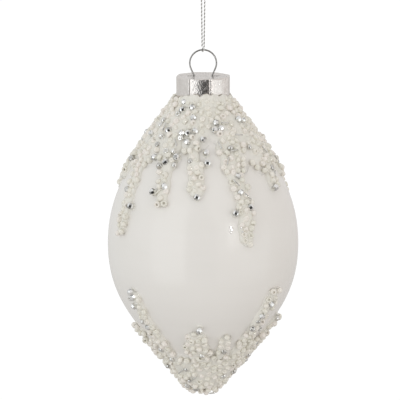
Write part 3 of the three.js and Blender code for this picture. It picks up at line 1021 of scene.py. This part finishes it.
class Run:
    """The middle line and width of a run, read from its CAD solid at stations of height."""

    STATIONS = 22
    WINDOW = 2.6  # reaches the next section of the CAD solid

    def __init__(self, name, seed):
        points = cad_points(name)
        angle = np.arctan2(points[:, 0], -points[:, 1])
        rough = math.atan2(np.sin(angle).mean(), np.cos(angle).mean())
        angle = rough + (angle - rough + np.pi) % (2 * np.pi) - np.pi
        z = points[:, 2]
        self.low, self.high = z.min(), z.max()
        self.at = np.linspace(self.low, self.high, self.STATIONS)
        near = [angle[np.abs(z - station) < self.WINDOW] for station in self.at]
        left, right = (np.array([pick(a) for a in near]) for pick in (np.min, np.max))
        self.turn = (left + right) / 2
        self.half = (right - left) / 2 * glass_at(self.at)[0]
        self.seed = seed
        self.down = self.high > -100

    def middle(self, z):
        return np.interp(z, self.at, self.turn)

    def half_width(self, z):
        """Half the run's width, wider and narrower at random and rounded at its free end."""
        half = np.interp(z, self.at, self.half)
        to_end = (z - self.low) if self.down else (self.high - z)
        share = np.clip(to_end / (half * 0.85), 0, 1)
        rounded = np.sqrt(np.clip(1 - (1 - share) ** 2, 0, 1))
        wavy = 1 + 0.08 * np.sin(0.9 * z + self.seed) + 0.05 * np.sin(2.1 * z + 2.3 * self.seed)
        return half * rounded * wavy

    def sample(self, rng):
        z = rng.uniform(self.low, self.high)
        half = float(self.half_width(z)) - 0.7
        if half <= 0.1:
            return None
        u = rng.uniform(-half, half)
        return float(self.middle(z)) + u / float(glass_at(z)[0]), z

    def glue(self):
        """A closed low strip of glue along the run."""
        rows, columns = max(8, int((self.high - self.low) / 1.2)), 9
        zs = np.linspace(self.low + 0.3, self.high - 0.3, rows)
        u = np.linspace(-1, 1, columns)
        top, under = [], []
        for z in zs:
            half = max(float(self.half_width(z)) - 0.15, 0.5) * 0.95
            angle = self.middle(z) + u * half / glass_at(z)[0]
            zz = np.full(columns, z)
            height = 1.35 * np.sqrt(1 - u**4) * (1 + 0.3 * ripple(angle, zz, 9)) + 0.02
            top.append(over_glass(angle, zz, height))
            under.append(over_glass(angle, zz, -0.12))
        rings = [np.vstack([t, b[::-1]]) for t, b in zip(top, under)]
        verts = np.vstack(rings)
        faces = grid_faces(rows, 2 * columns, False, True)
        ends = []
        for start in (0, (rows - 1) * 2 * columns):
            for j in range(columns - 1):
                quad = [start + j, start + j + 1, start + 2 * columns - 2 - j,
                        start + 2 * columns - 1 - j]
                ends.append(quad if start == 0 else quad[::-1])
        return verts, np.vstack([faces[:, ::-1], np.array(ends)[:, ::-1]]), 1.0


# ---------------------------------------------------------------- collar and tip crusts

COLLAR_TOP = -59.4
COLLAR_EDGE = -75.0
# How low the collar's edge hangs between the runs: degrees round from the front, and height
COLLAR_HEM = [
    (-180, -78), (-150, -79.5), (-120, -80), (-92, -82.5), (-74, -85), (-58, -84.5),
    (-44, -82), (-33, -80.5), (-22, -76), (-12, -77.5), (-3, -77), (10, -73.8), (20, -77),
    (34, -86), (43, -82.6), (50, -86.5), (60, -86), (66, -85),
    (88, -84), (120, -80), (150, -78.5), (180, -78),
]
TIP_EDGE = -157.0
# How high the tip's crust reaches between the runs over TIP_EDGE: degrees round, and height
TIP_HEM = [
    (-180, 0), (-120, 1), (-92, 3), (-66, 8), (-50, 3), (-20, 0), (20, 0), (45, 3), (66, 8),
    (92, 3), (120, 1), (180, 0),
]


RUN_ROOTS = [Run(name, 0).turn[-1] for name in names_with("upper_icicle")]
RIDGE_HALF = 0.18  # radians
RIDGES_MERGE = -64.0


def ridge(angle, z):
    """How far a place in the collar lies on one of the ridges that run on down as icicles, 0 to
    1. They merge towards the cap."""
    apart = (np.asarray(angle)[..., None] - np.array(RUN_ROOTS) + np.pi) % (2 * np.pi) - np.pi
    near = np.exp(-((apart / RIDGE_HALF) ** 2)).max(-1)
    parted = np.clip((RIDGES_MERGE - np.asarray(z)) / 9, 0, 1)
    return 0.75 + (near - 0.75) * parted


def no_ridge(angle, z):
    """The even relief of the runs and of the crust over the point."""
    return np.full(np.shape(angle), 0.7)


def collar_edge(angle):
    """How far the collar's edge lies above COLLAR_EDGE, ragged by about a bead."""
    turn = (np.degrees(angle) + 180) % 360 - 180
    hem = np.interp(turn, *np.array(COLLAR_HEM, float).T)
    return hem - COLLAR_EDGE + 0.9 * ripple(angle, 0, 11)


def tip_edge(angle):
    turn = (np.degrees(angle) + 180) % 360 - 180
    return np.interp(turn, *np.array(TIP_HEM, float).T) + 1.2 * ripple(angle, 0, 23)


def band_sampler(low, high, edge, edge_low):
    """Even random places on the glass between two heights, one of them ragged."""
    reach = 12  # how far a ragged edge strays
    heights = np.linspace(low - (reach if edge_low else 0), high + (0 if edge_low else reach), 200)
    area = np.cumsum(glass_at(heights)[0])
    area /= area[-1]

    def sample(rng):
        z = float(np.interp(rng.random(), area, heights))
        angle = rng.uniform(-np.pi, np.pi)
        bottom = low + (float(edge(angle)) if edge_low else 0)
        top = high + (0 if edge_low else float(edge(angle)))
        return (angle, z) if bottom < z < top else None

    return sample


SKIRT_BEADS, SKIRT_RADIUS = 38, 11.35


def cap_skirt_beads(rng):
    """Beads here and there along the outside of the cap's foot."""
    beads = []
    for i in range(SKIRT_BEADS):
        angle = 2 * np.pi * (i + rng.uniform(-0.3, 0.3)) / SKIRT_BEADS
        size = rng.uniform(0.85, 1.05)
        z = CAP_FOOT + rng.uniform(-1.8, 0.3) + 0.4 * max(0, math.cos(2 * angle))
        radius = SKIRT_RADIUS + 0.45 * (CAP_FOOT - z) + rng.uniform(-0.15, 0.2)
        centre = np.array([radius * math.sin(angle), -radius * math.cos(angle), z])
        if not crowd.free(centre, size, 0.72):
            continue
        axis = rng.normal(0, 1, 3)
        look = LINED if rng.random() < LINED_SHARE else PEARL
        crowd.add(centre, size)
        beads.append(("filled", turn_to(axis, 0), centre, size, look, rng.random()))
    return beads


# How far the glue laps up over the cap's foot: degrees round from the front, and height
LIP_RISE = [
    (-180, 1.2), (-165, 2.1), (-150, 1.9), (-138, 0.9), (-120, 1.2), (-105, 0.3), (-90, -1.3),
    (-72, -1.0), (-58, 0.0), (-45, 1.1), (-37, 1.9), (-28, 1.8), (-20, 2.5), (-12, 2.3), (-6, 1.4),
    (1, 2.4), (7, 2.65), (14, 2.1), (22, 2.6), (28, 2.2), (32, 1.5), (40, 1.9), (48, 2.0),
    (58, 1.1), (71, 0.5), (88, -0.1), (105, 0.7), (122, 1.8), (135, 1.0), (150, 2.0), (180, 1.2),
]


# Its section, from the inside over the top and down: radius, height over the cap's foot, how much
# of LIP_RISE it takes up, and how much it swells and shrinks round the cap
LIP_SECTION = [
    (10.75, -1.0, 1, 0), (10.78, -0.3, 1, 0), (10.95, 0.0, 1, 0.2), (11.2, -0.12, 1, 0.4),
    (11.5, -0.6, 0.9, 0.7), (11.8, -1.3, 0.5, 1), (12.25, -2.2, 0.2, 0.8),
    (12.7, -3.4, 0, 0.4), (12.0, -3.7, 0, 0), (11.2, -2.6, 0, 0), (10.7, -1.8, 0.3, 0),
]


def cap_foot_glue(sides=240):
    """The lumpy lip of glue that laps over the outside of the cap's foot and runs down into the
    collar."""
    a = np.linspace(0, 2 * np.pi, sides, endpoint=False)
    turn = (np.degrees(a) + 180) % 360 - 180
    rise = np.interp(turn, *np.array(LIP_RISE, float).T) + 0.25 * ripple(3 * a, 0, 31)
    swell = ripple(2 * a, 0, 37) + 0.8 * ripple(5 * a, 0, 43)
    layers = []
    for radius, z, risen, swollen in LIP_SECTION:
        r = radius + 0.4 * swollen * swell
        layers.append(np.stack([r * np.sin(a), -r * np.cos(a), CAP_FOOT + z + risen * rise], 1))
    return np.vstack(layers), grid_faces(len(layers), sides, True, True)[:, ::-1]


def single_ball(rng, angle, z, facet_front, off=1.75, size=1.33):
    """One faceted mirror bead at a place over the glass."""
    centre = over_glass(angle, z, off)
    crowd.add(centre, 1.15)
    turn = ball_turn(rng, facet_front)
    return "ball", turn, centre, size * rng.uniform(0.93, 1.05), MIRROR, 0.5


def laid_bugle(angle, z, swing, off=2.15):
    """One thin tube bead lying on the crust, `swing` degrees up from level."""
    _, round_way, up_way = surface_frame(angle, z)
    axis = math.cos(math.radians(swing)) * round_way + math.sin(math.radians(swing)) * up_way
    return "bugle", turn_to(axis, 0), over_glass(angle, z, off), BUGLE_RADIUS, LINED, 0.3


# Mirror beads placed singly on the crust: degrees round from the front, and height. The first
# COLLAR_FRONT_FACETS of them turn a facet to the front.
COLLAR_BALLS = [
    (-35.9, -63), (-17.2, -71), (-43.5, -70.6),
    (-38.6, -60.6), (-24.3, -71), (-9, -70.1), (-16.2, -74), (0.2, -73), (-14, -65.5),
    (-18.4, -62), (16.7, -67.3), (13.6, -69.8), (21.6, -69.4), (54.4, -67), (62.5, -67.7),
    (-70.6, -72.9), (122, -70), (165, -66), (-160, -71), (-118, -65), (-100, -74), (140, -75),
]
COLLAR_FRONT_FACETS = 3
FLECK_RADIUS = 0.36
# Tiny balls by the longest run: degrees round, height, and how far off the glass
FLECKS = [(16.9, -103.9, 0.3), (17.5, -104.7, 0.3), (16.8, -105.5, 0.3), (22.3, -104.2, 2.2),
          (23.2, -105.6, 2.2)]
FRONT_FACETS = (1, 2, 4, 5, 11, 12, 14)  # the mirror beads that turn a facet to the front
# Tube beads laid singly: degrees round, height, and degrees of swing up from level
BUGLES = [
    (28.5, -67.8, -6), (41.2, -72.3, -8), (16.1, -75.3, -72), (28.6, -77.4, 6), (23.5, -88.4, -51),
    (20.6, -80.8, -111), (-51.2, -69.8, -86), (-27.4, -74.6, -60), (66.9, -78.7, -60),
    (82, -83.4, -88), (29.9, -93.4, -47), (112, -72, 30), (150, -78, -20), (-165, -68, 75),
    (-140, -76, 10), (-105, -70, -50),
]


def make_collar():
    rng = np.random.default_rng(101)
    beads = [single_ball(rng, math.radians(turn), z, i < COLLAR_FRONT_FACETS)
             for i, (turn, z) in enumerate(COLLAR_BALLS)]
    beads += [laid_bugle(math.radians(turn), z, swing) for turn, z, swing in BUGLES]
    beads += cap_skirt_beads(rng)
    sample = band_sampler(COLLAR_EDGE, COLLAR_TOP, collar_edge, True)
    beads += fill_region(rng, sample, 12000, 0.012, 0.88, ridge, 0.06)
    band, band_faces, thick = glue_band(COLLAR_TOP, COLLAR_EDGE, 12, 120, 1.25, collar_edge, ridge)
    lip, lip_faces = cap_foot_glue()
    faces = np.vstack([band_faces, lip_faces + len(band)])
    glue = np.vstack([band, lip]), faces, np.append(thick, np.ones(len(lip)))
    return bead_mesh("beaded_collar", beads, glue, BAUBLE_BODY, ["bead_collar"])


def make_tip():
    rng = np.random.default_rng(202)
    sample = band_sampler(TIP + 0.4, TIP_EDGE, tip_edge, False)
    beads = fill_region(rng, sample, 9000, 0.03, 0.85, no_ridge, 0.1)
    glue = glue_band(TIP + 0.6, TIP_EDGE, 14, 96, 1.35, tip_edge, no_ridge)
    return bead_mesh("beaded_tip", beads, glue, BAUBLE_BODY, ["tip_bead_crust"])


def make_run(name, index):
    rng = np.random.default_rng(1000 + index)
    run = Run(name, index)
    area = (run.high - run.low) * 2 * run.half.mean()
    mirrors, lined = (0.01, LINED_SHARE) if run.down else (0.05, 0.09)
    beads = fill_region(rng, run.sample, int(area * 6), mirrors, 0.86, no_ridge, lined)
    piece_name = name.replace("icicle", "beaded_run")
    return bead_mesh(piece_name, beads, run.glue(), BAUBLE_BODY, [name])


def ball_turn(rng, facet_front):
    """A turning matrix for a faceted ball. Either a facet of its middle band or a corner between
    four facets is towards the front."""
    front = np.array([rng.uniform(-0.12, 0.12), -1, rng.uniform(-0.02, 0.18)])
    front /= np.linalg.norm(front)
    spin = rng.uniform(0, 2 * np.pi)
    axis = np.cross(front, [math.cos(spin), 0, math.sin(spin)])
    axis /= np.linalg.norm(axis)
    if not facet_front:
        axis += 0.36 * front
        axis /= np.linalg.norm(axis)
        front = front - axis * (front @ axis)
        front /= np.linalg.norm(front)
    beside = np.cross(axis, front)
    half = HALF_FACET if facet_front else 0.0
    u = math.cos(half) * front - math.sin(half) * beside
    return np.stack([u, np.cross(axis, u), axis], 1)


HALF_FACET = math.pi / 8  # from a corner of a faceted ball's middle band to a facet's middle


def fleck(angle, z, off):
    """A tiny mirror ball with a facet that lies the way the glass under it does."""
    outward, round_way, up_way = surface_frame(angle, z)
    u = math.cos(HALF_FACET) * outward - math.sin(HALF_FACET) * round_way
    turn = np.stack([u, np.cross(up_way, u), up_way], 1)
    return "ball", turn, over_glass(angle, z, off), FLECK_RADIUS, MIRROR, 0.5


def make_glitter():
    flecks = [fleck(math.radians(turn), z, off) for turn, z, off in FLECKS]
    return bead_mesh("glitter_flecks", flecks, None, BAUBLE_BODY, [])


def make_mirror_bead(name, index):
    """A single faceted bead on the bare glass, standing in a small foot of glue."""
    rng = np.random.default_rng(3000 + index)
    low, high = box_mm(name)
    middle = (low + high) / 2
    angle = math.atan2(middle[0], -middle[1])
    z = middle[2]
    for _ in range(4):
        radius, nr, nz = glass_at(z)
        away = math.hypot(middle[0], middle[1]) - radius
        z = middle[2] - nz * (away * nr + (middle[2] - z) * nz)
    size = (high - low)[2] / 2 * rng.uniform(0.94, 1.06)
    outward, _, _ = surface_frame(angle, z)
    turn = ball_turn(rng, index + 1 in FRONT_FACETS)
    beads = [("ball", turn, middle - outward * 0.2, size, MIRROR, 0.5)]
    a = np.linspace(0, 2 * np.pi, 14, endpoint=False)
    rings = []
    for reach, off in ((1.45, -0.1), (1.4, 0.05), (0.9, 0.35), (0.3, 0.5)):
        zz = z + reach * np.sin(a)
        rings.append(over_glass(angle + reach * np.cos(a) / glass_at(z)[0], zz, off))
    rings.append(over_glass(angle + 0.3 * np.cos(a) / glass_at(z)[0], z + 0.3 * np.sin(a), -0.1))
    verts = np.vstack(rings)
    faces = grid_faces(len(rings), len(a), True, True)
    piece_name = name.replace("mirror", "faceted_mirror")
    return bead_mesh(
        piece_name, beads, (verts, faces, 1.0), BAUBLE_BODY, [name]
    )


for i, name in enumerate(names_with("mirror_bead")):
    make_mirror_bead(name, i)
    low, high = box_mm(name)
    crowd.add((low + high) / 2, 1.2)
make_collar()
make_tip()
make_glitter()
for i, name in enumerate(names_with("upper_icicle") + names_with("lower_icicle")):
    make_run(name, i)

# ---------------------------------------------------------------- studio

SKY_LEVEL = 0.80
SKY_LEFT, SKY_RIGHT = (0.955, 0.972, 0.975), (0.90, 0.868, 0.85)
SKY_BELOW, SKY_LEVEL_UP, SKY_ABOVE = (0.60, 0.575, 0.55), (0.97, 0.965, 0.96), (1.0, 1.0, 1.0)
FLOOR_BELOW = 0.11
BACKDROP_RADIUS = 4.5
BULB_WIDTH, BULB_RADIANCE, BULB_AT = 0.07, 24, (35, 12.5)
UNLIT_HALF, UNLIT_FOOT, UNLIT_TOP = 21, 30, 32  # degrees the unlit end reaches across, down and up
UNLIT_GREY = 0.055
# Soft lamps: degrees right and up, half their spread across and up in degrees, radiance, colour
LAMPS = [
    ("left", -43, 0, 22, 31, 1.34, (0.98, 1, 1.01)),
    ("right", 37, 7, 8.5, 9.5, 2.35, (1, 0.985, 0.97)),
    ("far_right", 66, -9, 21, 17, 1.06, (0.98, 1, 1)),
]


def make_world():
    """Soft light from all round, cooler from the left and weaker from below."""
    world = bpy.data.worlds.new("studio")
    bpy.context.scene.world = world
    world.use_nodes = True
    nodes, links = world.node_tree.nodes, world.node_tree.links
    background = nodes["Background"]
    split = nodes.new("ShaderNodeSeparateXYZ")
    links.new(nodes.new("ShaderNodeTexCoord").outputs["Generated"], split.inputs["Vector"])

    def across(axis, colours):
        spread = nodes.new("ShaderNodeMapRange")
        spread.inputs["From Min"].default_value = -1
        links.new(split.outputs[axis], spread.inputs["Value"])
        tint = nodes.new("ShaderNodeValToRGB")
        elements = tint.color_ramp.elements
        if len(colours) > 2:
            elements.new(0.5)
        for element, colour in zip(elements, colours):
            element.color = (*colour, 1)
        links.new(spread.outputs["Result"], tint.inputs["Fac"])
        return tint.outputs["Color"]

    both = nodes.new("ShaderNodeMix")
    both.data_type, both.blend_type = "RGBA", "MULTIPLY"
    both.inputs["Factor"].default_value = 1
    links.new(across("X", (SKY_LEFT, SKY_RIGHT)), both.inputs["A"])
    links.new(across("Z", (SKY_BELOW, SKY_LEVEL_UP, SKY_ABOVE)), both.inputs["B"])
    links.new(both.outputs["Result"], background.inputs["Color"])
    background.inputs["Strength"].default_value = SKY_LEVEL


def glowing(name, radiance, colour=(1, 1, 1)):
    m = material(name, (0, 0, 0), 1.0)
    shader_of(m).inputs["Emission Color"].default_value = (*colour, 1)
    shader_of(m).inputs["Emission Strength"].default_value = radiance
    return m


def toward(azimuth, elevation):
    """A direction from the bauble, in degrees right of the camera's side and above level."""
    a, e = math.radians(azimuth), math.radians(elevation)
    return Vector((math.sin(a) * math.cos(e), -math.cos(a) * math.cos(e), math.sin(e)))


def stage_card(name, outline, azimuth, elevation, distance, m):
    """A flat card of the studio that faces the bauble, with its outline in metres. It lights the
    bauble or shows in its gloss, and the camera doesn't see it."""
    back = toward(azimuth, elevation)
    across = Vector((0, 0, 1)).cross(back).normalized()
    up = back.cross(across)
    centre = AIM + back * distance
    verts = [(centre + across * x + up * y) / MM for x, y in outline]
    card = new_piece(name, verts, [[list(range(len(verts)))]], smooth=False)
    card.data.materials.append(m)
    card.visible_camera = False
    card.visible_shadow = False
    return card


def rectangle(width, height):
    x, y = width / 2, height / 2
    return [(-x, -y), (x, -y), (x, y), (-x, y)]


def arch(half_width, foot, top):
    """An upright opening with a round head."""
    spring = top - half_width
    head = [(half_width * math.cos(t), spring + half_width * math.sin(t))
            for t in np.linspace(0, math.pi, 24)]
    return [(-half_width, foot), (half_width, foot), *head]


def spread_at(distance, degrees):
    return 2 * distance * math.tan(math.radians(degrees))


def make_studio():
    """A pale floor and a round backdrop, three soft lamps, a bulb and the unlit end of the room
    behind the camera. The floor and the backdrop are only for the camera."""
    white = glowing("studio_white", 1.0)
    a = np.linspace(0, 2 * np.pi, 64, endpoint=False)
    low, high = cad_box[0][2] - FLOOR_BELOW, BACKDROP_RADIUS
    ring = np.stack([BACKDROP_RADIUS * np.cos(a), BACKDROP_RADIUS * np.sin(a)], 1)
    for name, z in (("studio_floor", low), ("studio_ceiling", high)):
        verts = np.column_stack([ring, np.full(64, z)]) / MM
        show_only(new_piece(name, verts, [[list(range(64))]], smooth=False), white)
    rows = [np.column_stack([ring, np.full(64, z)]) for z in (low, high)]
    wall = new_piece("studio_wall", np.vstack(rows) / MM, [grid_faces(2, 64, False, True)])
    show_only(wall, white)
    near, far = 1.5, 2.4
    for name, azimuth, elevation, half_wide, half_tall, radiance, colour in LAMPS:
        card = rectangle(spread_at(near, half_wide), spread_at(near, half_tall))
        lit = glowing("lamp_" + name, radiance, colour)
        stage_card("soft_lamp_" + name, card, azimuth, elevation, near, lit)
    bulb = rectangle(BULB_WIDTH, BULB_WIDTH)
    stage_card("bulb", bulb, *BULB_AT, near - 0.05, glowing("lamp_bulb", BULB_RADIANCE))
    half, foot, top = (spread_at(far, d) / 2 for d in (UNLIT_HALF, UNLIT_FOOT, UNLIT_TOP))
    dark = arch(half, -foot, top)
    unlit = material("unlit", (UNLIT_GREY, UNLIT_GREY, UNLIT_GREY), 1.0)
    room = stage_card("unlit_room", dark, -3.5, 0, far, unlit)
    room.visible_diffuse = False
    room.visible_transmission = False


def show_only(piece, m):
    """A stage piece that the camera sees and that gives no light."""
    piece.data.materials.append(m)
    piece.visible_diffuse = piece.visible_glossy = piece.visible_transmission = False
    piece.visible_shadow = False


make_world()
make_studio()

scene = bpy.context.scene
scene.view_settings.view_transform = "Standard"
scene.view_settings.look = "None"
